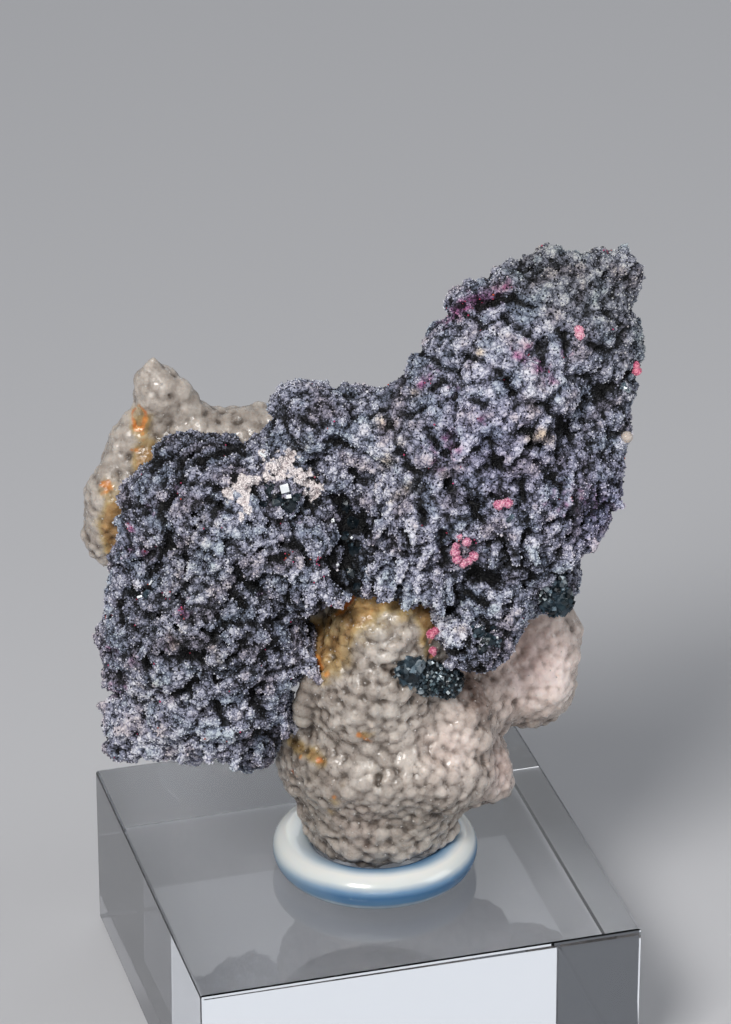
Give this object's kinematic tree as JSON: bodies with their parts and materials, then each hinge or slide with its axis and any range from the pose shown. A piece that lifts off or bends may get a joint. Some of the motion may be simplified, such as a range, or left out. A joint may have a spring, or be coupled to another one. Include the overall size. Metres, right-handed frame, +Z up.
{
  "type": "erythrite mineral specimen on a clear display block",
  "caption": "Erythrite specimen: pink balls on a dark lavender-grey nodular crust and white calcite druse, resting in a round ring on a clear square display block.",
  "frame": {"origin": "centre of the display block's underside, on the surface that it stands on", "axes": "+Z up; X and Y along the block's sides, with the specimen's best side turned towards -Y and a little towards -X"},
  "size_m": [0.0748, 0.0636, 0.1194],
  "materials": {
    "clear_acrylic": "polished, water-clear acrylic with a faint blue edge tint",
    "milky_ring": "milky translucent, satin-gloss",
    "calcite_druse": "sugary translucent knobs with iron staining",
    "dark_crust": "micro-crystalline, matte with small glints",
    "dark_crystal": "blue-black, semi-metallic facets",
    "erythrite": "pink, finely radiating, satin"
  },
  "bodies": {
    "root": {"display_block": "clear_acrylic", "ring_stand": "milky_ring", "calcite_matrix": "calcite_druse", "dark_crust": "dark_crust", "dark_crystal_front": "dark_crystal", "dark_crystal_right": "dark_crystal", "erythrite_front": "erythrite", "erythrite_mid": "erythrite", "erythrite_top": "erythrite", "erythrite_edge": "erythrite", "erythrite_low_a": "erythrite", "erythrite_low_b": "erythrite", "calcite_ball": "calcite_druse"}
  },
  "joints": []
}
